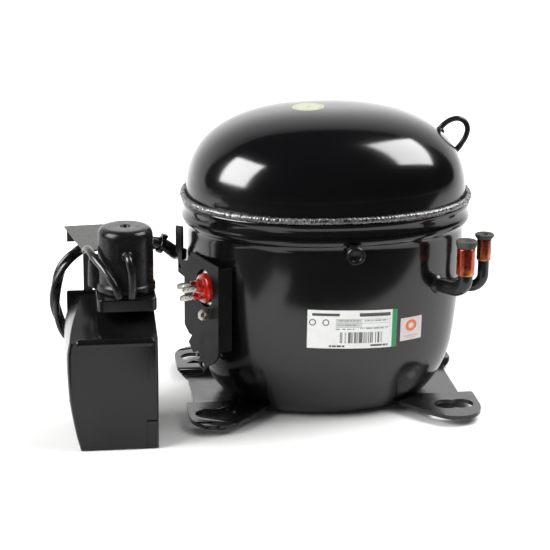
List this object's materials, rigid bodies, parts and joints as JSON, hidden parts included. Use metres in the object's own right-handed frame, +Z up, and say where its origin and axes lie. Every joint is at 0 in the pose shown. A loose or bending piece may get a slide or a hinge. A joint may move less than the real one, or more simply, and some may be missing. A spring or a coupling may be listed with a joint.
{
  "type": "hermetic reciprocating compressor",
  "caption": "Hermetic refrigeration compressor in a welded black oval shell on two slotted feet, with capped tube stubs, a terminal and a loose electrical box on a harness.",
  "frame": {"origin": "centre of the shell's flat bottom, on the surface it stands on", "axes": "+Z up along the crankshaft; +X towards the suction and discharge stubs, -X towards the terminal and the electrical box; -Y is the front with the process stub"},
  "size_m": [0.3264, 0.1935, 0.2244],
  "materials": {
    "shell_black": "gloss black enamel",
    "weld": "rough bare weld with black paint in its hollows",
    "plate_black": "black enamel, semi-gloss",
    "plastic_black": "satin black moulding",
    "rubber": "matt black rubber",
    "insulator_red": "glossy red moulding",
    "tin": "tinned",
    "copper": "lacquered copper",
    "grey_steel": "dark grey, satin",
    "bright_steel": "ground steel",
    "cast_iron": "machined casting",
    "lamination": "stacked sheet edges",
    "winding": "enamelled wire",
    "aluminium": "satin",
    "ivory_plastic": "matt moulding",
    "gasket": "pressed fibre sheet",
    "sleeving": "black sleeving"
  },
  "bodies": {
    "root": {"upper_shell": "shell_black", "lower_shell": "shell_black", "suction_tube": "shell_black", "discharge_tube": "shell_black", "process_tube": "shell_black", "weld_bead": "weld", "foot_left": "plate_black", "foot_right": "plate_black", "lifting_eye": "plate_black", "terminal_fence": "plate_black", "box_back_plate": "plastic_black", "capacitor_socket": "plastic_black", "harness_connector": "plastic_black", "process_cap": "rubber", "overload_protector": "rubber", "capacitor_boot": "rubber", "cable_tie": "rubber", "terminal_insulator": "insulator_red", "terminal_body": "tin", "terminal_pin_1": "tin", "terminal_pin_2": "tin", "terminal_pin_3": "tin", "earth_tab": "tin", "suction_copper_end": "copper", "discharge_copper_end": "copper", "harness_bracket": "grey_steel", "suspension_spring_1": "bright_steel", "suspension_spring_2": "bright_steel", "suspension_spring_3": "bright_steel", "suspension_spring_4": "bright_steel", "capacitor_can": "aluminium", "start_relay": "ivory_plastic", "terminal_strip": "ivory_plastic", "cluster_block": "ivory_plastic", "capacitor_lead_1": "sleeving", "capacitor_lead_2": "sleeving", "harness": "sleeving", "motor_leads": "sleeving"},
    "pump": {"stator_core": "lamination", "winding_lower": "winding", "winding_upper": "winding", "cylinder_block": "cast_iron", "head_gasket": "gasket", "valve_plate": "bright_steel", "cylinder_head": "cast_iron", "suction_muffler": "ivory_plastic", "discharge_muffler": "grey_steel", "discharge_loop": "copper"},
    "crank": {"crankshaft": "bright_steel", "rotor": "lamination", "oil_pickup": "bright_steel"},
    "slider": {"slider_block": "bright_steel"},
    "gallery_plug": {"oil_gallery_plug": "bright_steel"},
    "piston": {"piston_yoke": "aluminium"},
    "suction_valve": {"suction_reed": "bright_steel"},
    "discharge_valve": {"discharge_reed": "bright_steel"},
    "suction_cap": {"suction_plug": "rubber"},
    "discharge_cap": {"discharge_plug": "rubber"},
    "cover": {"box_cover": "plastic_black"}
  },
  "joints": [
    {"name": "suspension", "type": "slide", "parent": "root", "child": "pump", "axis": [0, 0, 1], "range_m": [-0.003, 0.003], "stiffness_N_per_m": 33000, "springref_m": 0.00193, "deforming": ["suspension_spring_1", "suspension_spring_2", "suspension_spring_3", "suspension_spring_4"]},
    {"name": "crank_turn", "type": "hinge", "parent": "pump", "child": "crank", "pos_m": [0, 0, 0.1], "axis": [0, 0, 1], "continuous": true},
    {"name": "slider_turn", "type": "hinge", "parent": "crank", "child": "slider", "pos_m": [0.01, 0, 0.129], "axis": [0, 0, 1], "continuous": true},
    {"name": "gallery_plug_turn", "type": "hinge", "parent": "crank", "child": "gallery_plug", "pos_m": [0.005, 0, 0.1385], "axis": [0, 0, 1], "continuous": true},
    {"name": "piston_stroke", "type": "hinge", "parent": "gallery_plug", "child": "piston", "pos_m": [0.01, 0, 0.129], "axis": [0, 0, 1], "continuous": true},
    {"name": "suction_reed_lift", "type": "hinge", "parent": "pump", "child": "suction_valve", "pos_m": [0.0738, -0.0085, 0.1155], "axis": [0, -1, 0], "range_deg": [0, 2.5], "stiffness_Nm_per_rad": 0.01},
    {"name": "discharge_reed_lift", "type": "hinge", "parent": "pump", "child": "discharge_valve", "pos_m": [0.0778, 0.0085, 0.1155], "axis": [0, 1, 0], "range_deg": [0, 4], "stiffness_Nm_per_rad": 0.01},
    {"name": "suction_plug_pull", "type": "slide", "parent": "root", "child": "suction_cap", "axis": [0, 0, 1], "range_m": [0, 0.012]},
    {"name": "discharge_plug_pull", "type": "slide", "parent": "root", "child": "discharge_cap", "axis": [0, 0, 1], "range_m": [0, 0.012]},
    {"name": "cover_slide", "type": "slide", "parent": "root", "child": "cover", "axis": [0, -1, 0], "range_m": [0, 0.045]}
  ],
  "couplings": [
    {"joint": "slider_turn", "follows": "crank_turn", "ratio": -1},
    {"joint": "gallery_plug_turn", "follows": "crank_turn", "ratio": -2},
    {"joint": "piston_stroke", "follows": "crank_turn", "ratio": 1}
  ]
}
